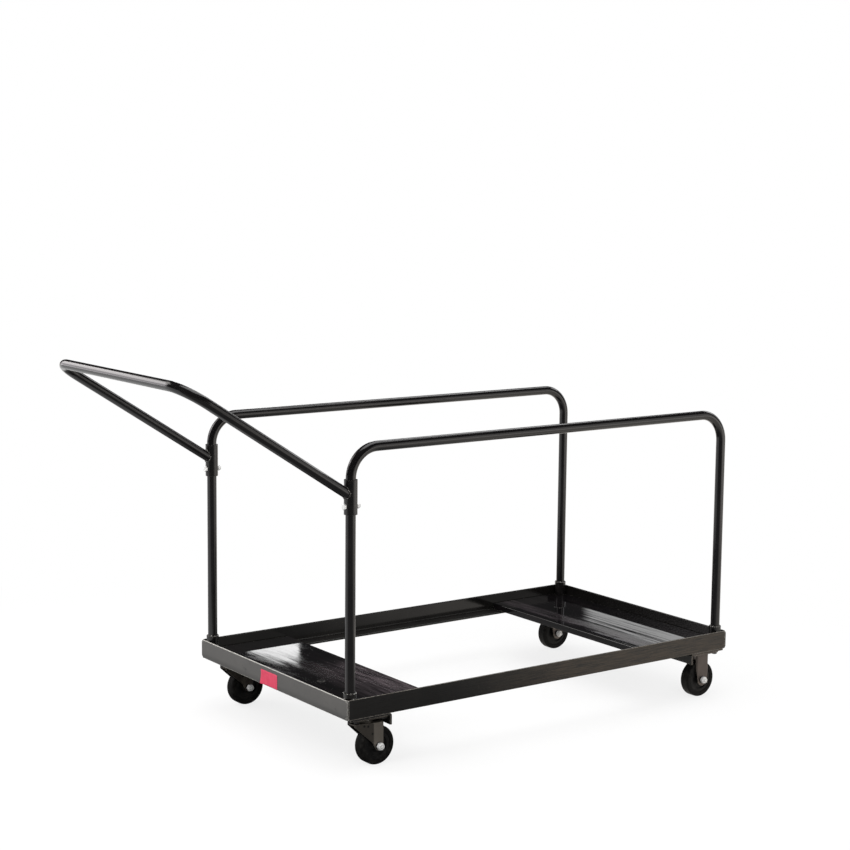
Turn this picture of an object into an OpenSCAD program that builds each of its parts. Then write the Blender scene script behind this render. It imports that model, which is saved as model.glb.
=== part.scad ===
// Banquet table trolley. A welded steel angle base stands on two swivel and two rigid casters.
// Two tube hoops keep a load upright on edge, and a push handle is bolted to the posts at one end.
// Millimetres, +Z up. The handle reaches towards -X, and the front is the side at -Y.
// The origin is on the floor, under the middle of the whole length.

/* [Base frame] */
// Outside length of the base frame
frame_l = 1275; // [1000:5:1600]
// Outside width of the base frame
frame_w = 725; // [560:5:900]
// Leg of the steel angle
angle_leg = 50; // [45:1:60]
// Thickness of the steel angle
angle_t = 5; // [4:0.5:6]
// Radius inside the root of the angle
root_r = 3; // [1:0.5:5]
// Radius on the toes of the angle
toe_r = 2; // [0.5:0.5:3]
// Radius ground on the corner points of the frame
corner_r = 8; // [2:1:12]

/* [Deck boards] */
// Thickness of a deck board
board_t = 18; // [12:1:22]
// Distance from the frame's end face to the board's inner edge
board_reach = 272; // [200:1:340]
// Radius on the board's inner top edge
board_edge_r = 3; // [1:0.5:6]
// Clearance between a board and what it is notched around
board_gap = 2; // [1:0.5:5]

/* [Hoops] */
// Outside diameter of the hoop and handle tube
tube_d = 25.4; // [24:0.1:26.4]
// Wall of the hoop and handle tube
tube_t = 2; // [1.5:0.1:3]
// Height of the hoop's top bar, at its centre
hoop_z = 800; // [700:5:900]
// Bend radius of the hoop, at the tube's centre
hoop_bend_r = 75; // [50:1:110]
// Outside diameter of a corner socket or handle sleeve
socket_d = 33.4; // [33:0.1:36]
// Wall of a corner socket or handle sleeve
socket_t = 3.2; // [2.5:0.1:3.4]
// Height of a socket above the rails
socket_rise = 12; // [5:1:30]

/* [Handle] */
// Distance from the frame's end face to the centre of the handle bar
handle_reach = 427; // [300:1:550]
// Height of the handle bar, at its centre
handle_z = 970; // [880:1:1080]
// Bend radius of the handle, at the tube's centre
handle_bend_r = 70; // [50:1:110]
// Length of a handle sleeve
sleeve_l = 85; // [75:1:110]
// Distance from the start of the hoop's bend down to the sleeve
sleeve_drop = 1; // [0.5:0.5:20]
// Height of the handle bolt above the sleeve's lower end
handle_bolt_up = 20; // [12:1:24]
// Diameter of the handle bolt
handle_bolt_d = 8; // [6:1:10]

/* [Caster bearers] */
// Distance from the frame's end face to the bearer's outer edge
bearer_in = 10; // [5:1:14]
// Height of the bearer's turned-down leg
bearer_drop = 30; // [20:1:32]
// Thickness of the bearer plate
bearer_t = 5; // [3:0.5:6]
// Radius inside the bearer's fold
bearer_fold_r = 2; // [1:0.5:5]

/* [Casters] */
// Height of a caster from the floor to the top of its plate
caster_h = 129; // [126:1:140]
// Distance from the frame's front face to the front casters' centre plane
caster_in = 37; // [36:1:60]
// Distance from the frame's back face to the back casters' centre plane
back_caster_in = 53; // [36:1:60]
// Distance from the handle end to the swivel axis
swivel_in = 75; // [60:1:100]
// Distance from the far end to the rigid caster's axle
rigid_in = 72; // [60:1:100]
// Trail of the swivel caster, from the swivel axis to the axle
trail = 30; // [20:1:32]
// Length of a caster plate
plate_l = 100; // [98:1:103]
// Width of a caster plate
plate_w = 70; // [66:1:72]
// Thickness of a caster plate
plate_t = 4; // [3:0.5:5]
// Bolt spacing along the caster plate
bolt_span_l = 80; // [78:1:84]
// Bolt spacing across the caster plate
bolt_span_w = 50; // [46:1:54]
// Diameter of a caster bolt
caster_bolt_d = 8; // [6:1:8]
// Thickness of the fork's steel
fork_t = 3; // [2:0.5:3.5]
// Clearance between the wheel's side and the inside of the fork's leg
fork_gap = 4.5; // [4.5:0.5:6]

/* [Wheels] */
// Diameter of a wheel
wheel_d = 100; // [80:1:100]
// Width of a wheel's tread
wheel_w = 30; // [26:1:32]
// Thickness of the tyre
tyre_t = 13; // [8:1:16]
// Radius on the tyre's shoulders
shoulder_r = 5; // [2:0.5:8]
// Diameter of the axle bolt
axle_d = 10; // [8:1:12]
// Outside diameter of the spacer tube on the axle
spacer_d = 15; // [14:0.5:18]
// Outside diameter of the washer under the axle's nut
washer_d = 21; // [19:0.5:24]
// Thickness of the washer under the axle's nut
washer_t = 2; // [1:0.25:2.5]

/* [Hidden] */
$fn = 64;

// Overrun of every cut
overrun = 1;
// Clearance between pieces that are set side by side
fit_gap = 0.3;
// Radial clearance of a running fit
run_gap = 0.06;
// Radial clearance of a bolt in its thread
thread_gap = 0.05;
// Radial clearance of a bolt in a plain hole
bolt_gap = 0.25;

// Ends of the frame
handle_over = handle_reach + tube_d / 2;
handle_end_x = (handle_over - frame_l) / 2;
far_end_x = handle_end_x + frame_l;
frame_mid_x = (handle_end_x + far_end_x) / 2;

// Heights
rail_z = caster_h + bearer_t;
flange_z = rail_z + angle_t;
rail_top_z = rail_z + angle_leg;

// Posts and sockets
post_in = angle_t + fit_gap + socket_d / 2;
post_y = frame_w / 2 - post_in;
hoop_span = frame_l - 2 * post_in;
hoop_rise = hoop_z - flange_z;
socket_bevel = root_r + fit_gap;
socket_h = rail_top_z + socket_rise - flange_z;

// Handle, sleeves and their bolts
sleeve_z = hoop_z - hoop_bend_r - sleeve_drop - sleeve_l;
arm_seat_share = 0.52;
arm_z = sleeve_z + arm_seat_share * sleeve_l;
arm_run = handle_reach + post_in;
arm_slope = atan2(handle_z - arm_z, arm_run);
arm_l = arm_run / cos(arm_slope);
handle_bolt_z = sleeve_z + handle_bolt_up;
handle_hole_d = handle_bolt_d + 2 * bolt_gap;

// Deck boards: edges, and the screws along the front and back flanges
board_in = angle_t + socket_bevel;
screw_d = 5;
screw_head_d = 9;
screw_head_h = 2.5;
screw_l = 18;
screw_in = 28;
screw_xs = [board_reach - screw_in, (board_reach - screw_in + swivel_in + plate_l / 2) / 2];

// Hexagon sizes as shares of the bolt's diameter
hex_flats_share = 1.7;
head_h_share = 0.64;
nut_h_share = 0.8;
collar_d_share = 1.45;
collar_h_share = 0.25;
hex_chamfer_share = 0.1;

// Swivel head
kingpin_d = 12;
kingpin_flange_d = 20;
kingpin_flange_h = 4.2;
head_gap = 12;
ball_d = 6;
ball_count = 12;
ball_circle_r = 14.5;
ball_groove_r = ball_d / 2 + fit_gap;
race_out_r = 19.5;
race_in_r = 9.5;
race_split = 2;
plate_bottom_z = caster_h - plate_t;
crown_z = plate_bottom_z - head_gap;
ball_z = (plate_bottom_z + crown_z) / 2;
plate_corner_r = 8;

// Forks
axle_z = wheel_d / 2;
leg_in_y = wheel_w / 2 + fork_gap;
leg_out_y = leg_in_y + fork_t;
foot_r = 12;
swivel_bend_r = 5;
crease_lead = 16.5;
crease_angle = 5;
nose_r = 42;
nose_drop = 4;
knee_lead = 19;
knee_rise = 10.5;
rigid_half_l = 22;
rigid_bend_r = 8;
rigid_lip = 2;
rigid_lip_r = 5;
rigid_foot_r = 17;
rigid_taper_z = 80;

// Wheels
core_r = wheel_d / 2 - tyre_t;
tyre_fit = 0.1;
key_h = 2;
key_w = 10;
hub_r = 14;
hub_play = 0.75;
hub_w = 2 * (leg_in_y - hub_play);
ring_r_share = 0.75;
ring_r = core_r * ring_r_share;
web_sink = 5;
rim_sink = 1.5;

frame_black = [0.09, 0.09, 0.10];
board_black = [0.05, 0.05, 0.06];
fork_grey = [0.20, 0.19, 0.18];
zinc = [0.80, 0.81, 0.82];
core_black = [0.07, 0.07, 0.07];
tyre_black = [0.04, 0.04, 0.04];

// Places

module at_handle_end() {
    translate([handle_end_x, 0, 0]) children();
}

module at_far_end() {
    translate([far_end_x, 0, 0]) mirror([1, 0, 0]) children();
}

module at_front_swivel() {
    translate([handle_end_x + swivel_in, caster_in - frame_w / 2, 0]) children();
}

module at_back_swivel() {
    translate([handle_end_x + swivel_in, frame_w / 2 - back_caster_in, 0]) children();
}

module at_front_rigid() {
    translate([far_end_x - rigid_in, caster_in - frame_w / 2, 0]) children();
}

module at_back_rigid() {
    translate([far_end_x - rigid_in, frame_w / 2 - back_caster_in, 0]) children();
}

module at_axle(forward) {
    translate([forward, 0, axle_z]) rotate([90, 0, 0]) children();
}

module at_each_caster() {
    at_front_swivel() children();
    at_back_swivel() children();
    at_front_rigid() children();
    at_back_rigid() children();
}

module at_plate_bolts() {
    for (x = [-1, 1], y = [-1, 1]) {
        translate([x * bolt_span_l / 2, y * bolt_span_w / 2, 0]) children();
    }
}

// Shapes that repeat

module ring_2d(d, t) {
    difference() {
        circle(d = d);
        circle(d = d - 2 * t);
    }
}

module pipe(l, d, t) {
    linear_extrude(l) ring_2d(d, t);
}

module quarter_bend(r, d, t) {
    rotate_extrude(angle = 90) translate([r, 0]) ring_2d(d, t);
}

module rounded_plate_2d(l, w, r) {
    square([l - 2 * r, w], center = true);
    square([l, w - 2 * r], center = true);
    for (x = [-1, 1], y = [-1, 1]) {
        translate([x * (l / 2 - r), y * (w / 2 - r)]) circle(r);
    }
}

// Hexagon along +Z with its outer corners turned off
module hexagon(d, h) {
    flats = d * hex_flats_share;
    corner_r = flats / 2 / cos(30);
    chamfer = d * hex_chamfer_share;
    intersection() {
        cylinder(r = corner_r, h = h, $fn = 6);
        union() {
            cylinder(r = corner_r + overrun, h = h - chamfer);
            translate([0, 0, h - chamfer]) cylinder(r1 = corner_r, r2 = corner_r - 2 * chamfer, h = chamfer);
        }
    }
}

// Bolt whose shank runs up from z = 0 and whose head hangs below
module hex_bolt(d, l) {
    head_h = d * head_h_share;
    cylinder(d = d, h = l);
    mirror([0, 0, 1]) hexagon(d, head_h);
}

// Locking nut that stands on z = 0, with its round collar on top
module lock_nut(d) {
    hex_h = d * nut_h_share;
    collar_h = d * collar_h_share;
    difference() {
        union() {
            hexagon(d, hex_h);
            cylinder(d = d * collar_d_share, h = hex_h + collar_h);
        }
        translate([0, 0, -overrun]) cylinder(d = d + 2 * thread_gap, h = hex_h + collar_h + 2 * overrun);
    }
}

// Base frame

// Upright leg of the angle: outer face at x = 0
module angle_upright_2d() {
    square([angle_t, angle_leg - toe_r]);
    square([angle_t - toe_r, angle_leg]);
    translate([angle_t - toe_r, angle_leg - toe_r]) circle(toe_r);
}

// Flat leg of the angle, from the upright leg inwards, with the root radius
module angle_flange_2d() {
    translate([angle_t, 0]) square([angle_leg - angle_t - toe_r, angle_t]);
    translate([angle_t, 0]) square([angle_leg - angle_t, angle_t - toe_r]);
    translate([angle_leg - toe_r, angle_t - toe_r]) circle(toe_r);
    translate([angle_t, angle_t]) difference() {
        square(root_r);
        translate([root_r, root_r]) circle(root_r);
    }
}

// Angle rail along Y, with its outer face at x = 0 and its flange towards +X
module angle_rail(upright_l, flange_l) {
    rotate([90, 0, 0]) {
        linear_extrude(upright_l, center = true) angle_upright_2d();
        linear_extrude(flange_l, center = true) angle_flange_2d();
    }
}

// What is ground off one corner point of the frame, seen from its long side
module ground_point_2d() {
    difference() {
        translate([-overrun, -overrun]) square(corner_r + overrun);
        translate([corner_r, corner_r]) circle(corner_r);
    }
}

// What is ground off the ends of an end rail, as deep as the side rails are thick
module ground_corners() {
    for (m = [0, 1]) mirror([0, m, 0]) {
        translate([0, angle_t - frame_w / 2, 0]) rotate([90, 0, 0]) linear_extrude(angle_t + overrun) {
            ground_point_2d();
            translate([0, angle_leg]) mirror([0, 1]) ground_point_2d();
        }
    }
}

module end_rail() {
    color(frame_black) translate([0, 0, rail_z]) difference() {
        angle_rail(frame_w, frame_w - 2 * angle_t);
        ground_corners();
    }
}

module handle_end_rail() {
    at_handle_end() end_rail();
}

module far_end_rail() {
    at_far_end() end_rail();
}

// Side rail between the end rails, with its flange cut back to meet theirs
module side_rail() {
    color(frame_black) difference() {
        translate([frame_mid_x, -frame_w / 2, rail_z]) rotate([0, 0, 90])
            mirror([0, 1, 0]) angle_rail(frame_l - 2 * angle_t, frame_l - 2 * angle_leg);
        at_front_screws() translate([0, 0, rail_z - overrun])
            cylinder(d = screw_d + 2 * bolt_gap, h = angle_t + 2 * overrun);
    }
}

module front_rail() {
    side_rail();
}

module back_rail() {
    mirror([0, 1, 0]) side_rail();
}

// Deck boards

module at_front_screws() {
    for (x = screw_xs) {
        translate([handle_end_x + x, screw_in - frame_w / 2, 0]) children();
        translate([far_end_x - x, screw_in - frame_w / 2, 0]) children();
    }
}

module at_all_screws() {
    for (m = [0, 1]) mirror([0, m, 0]) at_front_screws() children();
}

// Section of a board along X, with its inner top edge rounded
module board_2d() {
    board_l = board_reach - board_in;
    square([board_l, board_t - board_edge_r]);
    square([board_l - board_edge_r, board_t]);
    translate([board_l - board_edge_r, board_t - board_edge_r]) circle(board_edge_r);
}

// Notch around one socket, open to the board's corner
module board_notch() {
    cylinder(d = socket_d + 2 * board_gap, h = board_t + 2 * overrun);
    translate([-post_in, 0, 0]) mirror([0, 1, 0]) cube([post_in, post_in, board_t + 2 * overrun]);
}

module end_board() {
    difference() {
        translate([board_in, 0, flange_z]) rotate([90, 0, 0])
            linear_extrude(frame_w - 2 * board_in, center = true) board_2d();
        for (m = [0, 1]) mirror([0, m, 0])
            translate([post_in, -post_y, flange_z - overrun]) board_notch();
    }
}

module screw_pilots() {
    at_all_screws() translate([0, 0, rail_z]) cylinder(d = screw_d + 2 * thread_gap, h = screw_l);
}

module handle_end_board() {
    color(board_black) difference() {
        at_handle_end() end_board();
        screw_pilots();
    }
}

module far_end_board() {
    color(board_black) difference() {
        at_far_end() end_board();
        screw_pilots();
    }
}

// Pan head screws, from under the flange up into the board
module deck_screws() {
    color(zinc) at_all_screws() translate([0, 0, rail_z]) {
        cylinder(d = screw_d, h = screw_l);
        mirror([0, 0, 1]) cylinder(d1 = screw_head_d, d2 = screw_d, h = screw_head_h);
    }
}

// Corner sockets

module socket() {
    color(frame_black) translate([0, 0, flange_z]) difference() {
        union() {
            cylinder(d1 = socket_d - 2 * socket_bevel, d2 = socket_d, h = socket_bevel);
            translate([0, 0, socket_bevel]) cylinder(d = socket_d, h = socket_h - socket_bevel);
        }
        translate([0, 0, -overrun]) cylinder(d = socket_d - 2 * socket_t, h = socket_h + 2 * overrun);
    }
}

module front_handle_socket() {
    at_handle_end() translate([post_in, -post_y, 0]) socket();
}

module back_handle_socket() {
    at_handle_end() translate([post_in, post_y, 0]) socket();
}

module front_far_socket() {
    at_far_end() translate([post_in, -post_y, 0]) socket();
}

module back_far_socket() {
    at_far_end() translate([post_in, post_y, 0]) socket();
}

// Hoops

module half_hoop() {
    bend_x = hoop_span / 2 - hoop_bend_r;
    bend_y = hoop_rise - hoop_bend_r;
    translate([hoop_span / 2, 0, 0]) rotate([-90, 0, 0]) pipe(bend_y, tube_d, tube_t);
    translate([bend_x, bend_y, 0]) quarter_bend(hoop_bend_r, tube_d, tube_t);
    translate([0, hoop_rise, 0]) rotate([0, 90, 0]) pipe(bend_x, tube_d, tube_t);
}

// One bent tube, drilled along X through one leg for the handle's bolt
module hoop() {
    color(frame_black) translate([frame_mid_x, 0, flange_z]) difference() {
        rotate([90, 0, 0]) for (m = [0, 1]) mirror([m, 0, 0]) half_hoop();
        translate([-hoop_span / 2, 0, handle_bolt_z - flange_z]) rotate([0, 90, 0])
            cylinder(d = handle_hole_d, h = tube_d + 2 * overrun, center = true);
    }
}

module front_hoop() {
    translate([0, -post_y, 0]) hoop();
}

module back_hoop() {
    translate([0, post_y, 0]) hoop();
}

// Handle

// Half of the handle in its own slanting plane: x runs up along the arm, y across
module half_handle() {
    bend_x = arm_l - handle_bend_r;
    bend_y = post_y - handle_bend_r;
    translate([0, post_y, 0]) rotate([0, 90, 0]) pipe(bend_x, tube_d, tube_t);
    translate([bend_x, bend_y, 0]) quarter_bend(handle_bend_r, tube_d, tube_t);
    translate([arm_l, 0, 0]) rotate([-90, 0, 0]) pipe(bend_y, tube_d, tube_t);
}

// One bent tube whose arms are coped to the sleeves
module handle_tube() {
    color(frame_black) at_handle_end() difference() {
        translate([post_in, 0, arm_z]) rotate([0, 180 + arm_slope, 0])
            for (m = [0, 1]) mirror([0, m, 0]) half_handle();
        for (s = [-1, 1]) {
            translate([post_in, s * post_y, sleeve_z - sleeve_l])
                cylinder(d = socket_d + 2 * fit_gap, h = 3 * sleeve_l);
        }
    }
}

module sleeve() {
    color(frame_black) at_handle_end() translate([post_in, 0, sleeve_z]) difference() {
        pipe(sleeve_l, socket_d, socket_t);
        translate([0, 0, handle_bolt_up]) rotate([0, 90, 0])
            cylinder(d = handle_hole_d, h = socket_d + 2 * overrun, center = true);
    }
}

module front_sleeve() {
    translate([0, -post_y, 0]) sleeve();
}

module back_sleeve() {
    translate([0, post_y, 0]) sleeve();
}

// Places of the handle's bolts, with +Z turned to run along +X
module at_handle_bolts() {
    for (s = [-1, 1]) {
        translate([handle_end_x + post_in, s * post_y, handle_bolt_z]) rotate([0, 90, 0]) children();
    }
}

module handle_bolts() {
    bolt_l = socket_d + handle_bolt_d * (nut_h_share + collar_h_share);
    color(zinc) at_handle_bolts() translate([0, 0, -socket_d / 2]) hex_bolt(handle_bolt_d, bolt_l);
}

module handle_nuts() {
    color(zinc) at_handle_bolts() translate([0, 0, socket_d / 2]) lock_nut(handle_bolt_d);
}

// Caster bearers

// Section of a bearer: the flat leg at the top, the other leg turned down at its inner edge
module bearer_2d(w, fold_r) {
    translate([0, -bearer_t]) square([w - fold_r, bearer_t]);
    translate([w - bearer_t, -bearer_drop]) square([bearer_t, bearer_drop - fold_r]);
    translate([w - fold_r, -fold_r]) intersection() {
        ring_2d(2 * fold_r, bearer_t);
        square(fold_r);
    }
}

// Bearer whose fold starts just past the caster plates: plate_end is their distance from the frame's end
module bearer(plate_end) {
    fold_r = bearer_fold_r + bearer_t;
    w = plate_end + fit_gap + fold_r - bearer_in;
    translate([bearer_in, 0, rail_z]) rotate([90, 0, 0])
        linear_extrude(frame_w, center = true) bearer_2d(w, fold_r);
}

module bearer_threads() {
    at_each_caster() at_plate_bolts() translate([0, 0, plate_bottom_z])
        cylinder(d = caster_bolt_d + 2 * thread_gap, h = plate_t + bearer_t + overrun);
}

module handle_end_bearer() {
    color(frame_black) difference() {
        at_handle_end() bearer(swivel_in + plate_l / 2);
        bearer_threads();
    }
}

module far_end_bearer() {
    color(frame_black) difference() {
        at_far_end() bearer(rigid_in + plate_l / 2);
        bearer_threads();
    }
}

// Screws from below, through the caster plates into the bearers
module caster_bolts() {
    bolt_l = plate_t + bearer_t - fit_gap;
    color(frame_black) at_each_caster() at_plate_bolts() translate([0, 0, plate_bottom_z])
        hex_bolt(caster_bolt_d, bolt_l);
}

// Casters

module caster_plate() {
    translate([0, 0, plate_bottom_z]) difference() {
        linear_extrude(plate_t) rounded_plate_2d(plate_l, plate_w, plate_corner_r);
        at_plate_bolts() translate([0, 0, -overrun])
            cylinder(d = caster_bolt_d + 2 * bolt_gap, h = plate_t + 2 * overrun);
    }
}

// Race ring between two heights, with the groove of the balls still to be cut
module race_ring(from_z, to_z) {
    translate([0, 0, from_z]) difference() {
        cylinder(r = race_out_r, h = to_z - from_z);
        translate([0, 0, -overrun]) cylinder(r = race_in_r, h = to_z - from_z + 2 * overrun);
    }
}

module race_groove() {
    translate([0, 0, ball_z]) rotate_extrude() translate([ball_circle_r, 0]) circle(ball_groove_r);
}

module swivel_plate() {
    color(fork_grey) difference() {
        union() {
            caster_plate();
            race_ring(ball_z + race_split / 2, plate_bottom_z);
        }
        race_groove();
        translate([0, 0, plate_bottom_z - overrun])
            cylinder(d = kingpin_d + 2 * thread_gap, h = plate_t + 2 * overrun);
    }
}

// Kingpin riveted in the plate, with its flange under the fork's crown
module kingpin() {
    flange_top = crown_z - fork_t - fit_gap;
    color(zinc) {
        translate([0, 0, flange_top]) cylinder(d = kingpin_d, h = caster_h - flange_top);
        translate([0, 0, flange_top - kingpin_flange_h])
            cylinder(d = kingpin_flange_d, h = kingpin_flange_h);
    }
}

module race_balls() {
    color(zinc) for (i = [0 : ball_count - 1]) {
        rotate(i * 360 / ball_count) translate([ball_circle_r, 0, ball_z]) sphere(d = ball_d);
    }
}

// Plan of the swivel fork inside a given half width: straight sides behind the crease,
// and sides that close in from the crease to the nose
module fork_plan_2d(half_w) {
    back_x = trail + foot_r;
    crease_x = trail - crease_lead;
    nose_w = half_w - (crease_x + nose_r) * tan(crease_angle);
    polygon([
        [back_x, -half_w], [back_x, half_w], [crease_x, half_w],
        [-nose_r, nose_w], [-nose_r, -nose_w], [crease_x, -half_w]
    ]);
}

// Side view of the swivel fork: a round foot at the axle, a front edge that slants from the nose
// to a knee and then down to touch the foot's circle, and an upright back edge
module fork_side_2d() {
    foot = [trail, axle_z];
    nose = [-nose_r, crown_z - nose_drop];
    knee = foot + [-knee_lead, knee_rise];
    touch = atan2(knee_rise, -knee_lead) + acos(foot_r / norm(knee - foot));
    translate(foot) circle(foot_r);
    polygon([
        nose, knee, foot + foot_r * [cos(touch), sin(touch)], foot,
        foot + [foot_r, 0], [trail + foot_r, crown_z], [-nose_r, crown_z]
    ]);
}

// End view of a fork: upright sides with the bends at the top
module fork_end_2d(half_w, top_z, r) {
    translate([-half_w, 0]) square([2 * half_w, top_z - r]);
    translate([r - half_w, 0]) square([2 * (half_w - r), top_z]);
    for (s = [-1, 1]) translate([s * (half_w - r), top_z - r]) circle(r);
}

module along_y(half_l) {
    translate([0, half_l, 0]) rotate([90, 0, 0]) linear_extrude(2 * half_l) children();
}

module along_x(from_x, to_x) {
    translate([from_x, 0, 0]) rotate([90, 0, 90]) linear_extrude(to_x - from_x) children();
}

// Pressed swivel fork: two legs and a crown, trimmed to its side, end and nose outlines
module swivel_fork() {
    color(fork_grey) difference() {
        union() {
            intersection() {
                union() {
                    linear_extrude(crown_z) difference() {
                        fork_plan_2d(leg_out_y);
                        fork_plan_2d(leg_in_y);
                    }
                    translate([0, 0, crown_z - fork_t]) linear_extrude(fork_t) fork_plan_2d(leg_in_y);
                }
                along_y(leg_out_y + overrun) fork_side_2d();
                along_x(-nose_r - overrun, trail + foot_r + overrun)
                    fork_end_2d(leg_out_y, crown_z, swivel_bend_r);
                linear_extrude(crown_z) {
                    circle(nose_r);
                    translate([0, -nose_r]) square([trail + foot_r + overrun, 2 * nose_r]);
                }
            }
            race_ring(crown_z, ball_z - race_split / 2);
        }
        race_groove();
        translate([0, 0, crown_z - fork_t - overrun])
            cylinder(d = kingpin_d + 2 * run_gap, h = fork_t + 2 * overrun);
        at_axle(trail) cylinder(d = axle_d + 2 * bolt_gap, h = 2 * leg_out_y + 2 * overrun, center = true);
    }
}

module rigid_plate() {
    color(fork_grey) caster_plate();
}

// Plan of one rigid leg: a flat outer face, with the edges rounded and turned in
module rigid_leg_2d() {
    lip_y = leg_in_y - rigid_lip;
    difference() {
        intersection() {
            translate([0, leg_out_y - rigid_half_l])
                rounded_plate_2d(2 * rigid_half_l, 2 * rigid_half_l, rigid_lip_r);
            translate([-rigid_half_l, lip_y]) square([2 * rigid_half_l, leg_out_y - lip_y]);
        }
        translate([fork_t - rigid_half_l, lip_y - overrun])
            square([2 * (rigid_half_l - fork_t), leg_in_y - lip_y + overrun]);
    }
}

// Side view of the rigid fork: upright edges that taper in to a round foot
module rigid_side_2d() {
    translate([0, axle_z]) circle(rigid_foot_r);
    translate([-rigid_half_l, rigid_taper_z])
        square([2 * rigid_half_l, plate_bottom_z - rigid_taper_z]);
    polygon([
        [-rigid_half_l, rigid_taper_z], [-rigid_foot_r, axle_z],
        [rigid_foot_r, axle_z], [rigid_half_l, rigid_taper_z]
    ]);
}

// Rigid fork: one strip bent down at both sides, under its plate
module rigid_fork() {
    color(fork_grey) difference() {
        intersection() {
            union() {
                linear_extrude(plate_bottom_z) for (m = [0, 1]) mirror([0, m]) rigid_leg_2d();
                translate([0, 0, plate_bottom_z - fork_t]) linear_extrude(fork_t)
                    square([2 * rigid_half_l, 2 * leg_out_y], center = true);
            }
            along_y(leg_out_y + overrun) rigid_side_2d();
            along_x(-rigid_half_l - overrun, rigid_half_l + overrun)
                fork_end_2d(leg_out_y, plate_bottom_z, rigid_bend_r);
        }
        at_axle(0) cylinder(d = axle_d + 2 * bolt_gap, h = 2 * leg_out_y + 2 * overrun, center = true);
    }
}

// Wheels and axles, each about +Z through the middle of the wheel

module axle_spacer() {
    spacer_t = spacer_d / 2 - axle_d / 2 - thread_gap;
    color(zinc) translate([0, 0, -leg_in_y]) pipe(2 * leg_in_y, spacer_d, spacer_t);
}

module axle_bolt() {
    bolt_l = 2 * leg_out_y + washer_t + axle_d * (nut_h_share + collar_h_share);
    color(zinc) translate([0, 0, -leg_out_y]) hex_bolt(axle_d, bolt_l);
}

module axle_washer() {
    wall = (washer_d - axle_d) / 2 - bolt_gap;
    color(frame_black) translate([0, 0, leg_out_y]) pipe(washer_t, washer_d, wall);
}

module axle_nut() {
    color(zinc) translate([0, 0, leg_out_y + washer_t]) lock_nut(axle_d);
}

// Half section of the core: hub, sunk web, raised ring, rim and the key that holds the tyre
module core_2d() {
    bore_r = spacer_d / 2 + run_gap;
    half_w = wheel_w / 2;
    translate([bore_r, -hub_w / 2]) square([hub_r - bore_r, hub_w]);
    translate([bore_r, web_sink - half_w]) square([ring_r - bore_r, wheel_w - 2 * web_sink]);
    translate([ring_r, rim_sink - half_w]) square([core_r - ring_r, wheel_w - 2 * rim_sink]);
    translate([ring_r, -key_w / 2]) square([core_r + key_h - ring_r, key_w]);
}

module wheel_core() {
    color(core_black) rotate_extrude() core_2d();
}

// Half section of the tyre: round shoulders outside, and a groove over the core's key
module tyre_2d() {
    half_w = wheel_w / 2;
    in_r = core_r + tyre_fit;
    out_r = wheel_d / 2;
    difference() {
        union() {
            translate([in_r, -half_w]) square([out_r - shoulder_r - in_r, wheel_w]);
            translate([in_r, shoulder_r - half_w]) square([out_r - in_r, wheel_w - 2 * shoulder_r]);
            for (s = [-1, 1]) translate([out_r - shoulder_r, s * (half_w - shoulder_r)]) circle(shoulder_r);
        }
        translate([in_r - overrun, -key_w / 2 - tyre_fit])
            square([key_h + overrun, key_w + 2 * tyre_fit]);
    }
}

module tyre() {
    color(tyre_black) rotate_extrude() tyre_2d();
}

front_rail();
back_rail();
handle_end_rail();
far_end_rail();
handle_end_board();
far_end_board();
deck_screws();
front_handle_socket();
back_handle_socket();
front_far_socket();
back_far_socket();
front_hoop();
back_hoop();
handle_tube();
front_sleeve();
back_sleeve();
handle_bolts();
handle_nuts();
handle_end_bearer();
far_end_bearer();
caster_bolts();
at_front_swivel() swivel_plate();  // front_swivel_plate
at_front_swivel() kingpin();  // front_kingpin
at_front_swivel() race_balls();  // front_swivel_balls
at_front_swivel() swivel_fork();  // front_swivel_fork
at_front_swivel() at_axle(trail) axle_spacer();  // front_swivel_spacer
at_front_swivel() at_axle(trail) axle_bolt();  // front_swivel_axle
at_front_swivel() at_axle(trail) axle_washer();  // front_swivel_washer
at_front_swivel() at_axle(trail) axle_nut();  // front_swivel_nut
at_front_swivel() at_axle(trail) wheel_core();  // front_swivel_core
at_front_swivel() at_axle(trail) tyre();  // front_swivel_tyre
at_back_swivel() swivel_plate();  // back_swivel_plate
at_back_swivel() kingpin();  // back_kingpin
at_back_swivel() race_balls();  // back_swivel_balls
at_back_swivel() swivel_fork();  // back_swivel_fork
at_back_swivel() at_axle(trail) axle_spacer();  // back_swivel_spacer
at_back_swivel() at_axle(trail) axle_bolt();  // back_swivel_axle
at_back_swivel() at_axle(trail) axle_washer();  // back_swivel_washer
at_back_swivel() at_axle(trail) axle_nut();  // back_swivel_nut
at_back_swivel() at_axle(trail) wheel_core();  // back_swivel_core
at_back_swivel() at_axle(trail) tyre();  // back_swivel_tyre
at_front_rigid() rigid_plate();  // front_rigid_plate
at_front_rigid() rigid_fork();  // front_rigid_fork
at_front_rigid() at_axle(0) axle_spacer();  // front_rigid_spacer
at_front_rigid() at_axle(0) axle_bolt();  // front_rigid_axle
at_front_rigid() at_axle(0) axle_washer();  // front_rigid_washer
at_front_rigid() at_axle(0) axle_nut();  // front_rigid_nut
at_front_rigid() at_axle(0) wheel_core();  // front_rigid_core
at_front_rigid() at_axle(0) tyre();  // front_rigid_tyre
at_back_rigid() rigid_plate();  // back_rigid_plate
at_back_rigid() rigid_fork();  // back_rigid_fork
at_back_rigid() at_axle(0) axle_spacer();  // back_rigid_spacer
at_back_rigid() at_axle(0) axle_bolt();  // back_rigid_axle
at_back_rigid() at_axle(0) axle_washer();  // back_rigid_washer
at_back_rigid() at_axle(0) axle_nut();  // back_rigid_nut
at_back_rigid() at_axle(0) wheel_core();  // back_rigid_core
at_back_rigid() at_axle(0) tyre();  // back_rigid_tyre
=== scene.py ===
import math

import bpy
from mathutils import Matrix, Vector, noise


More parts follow.
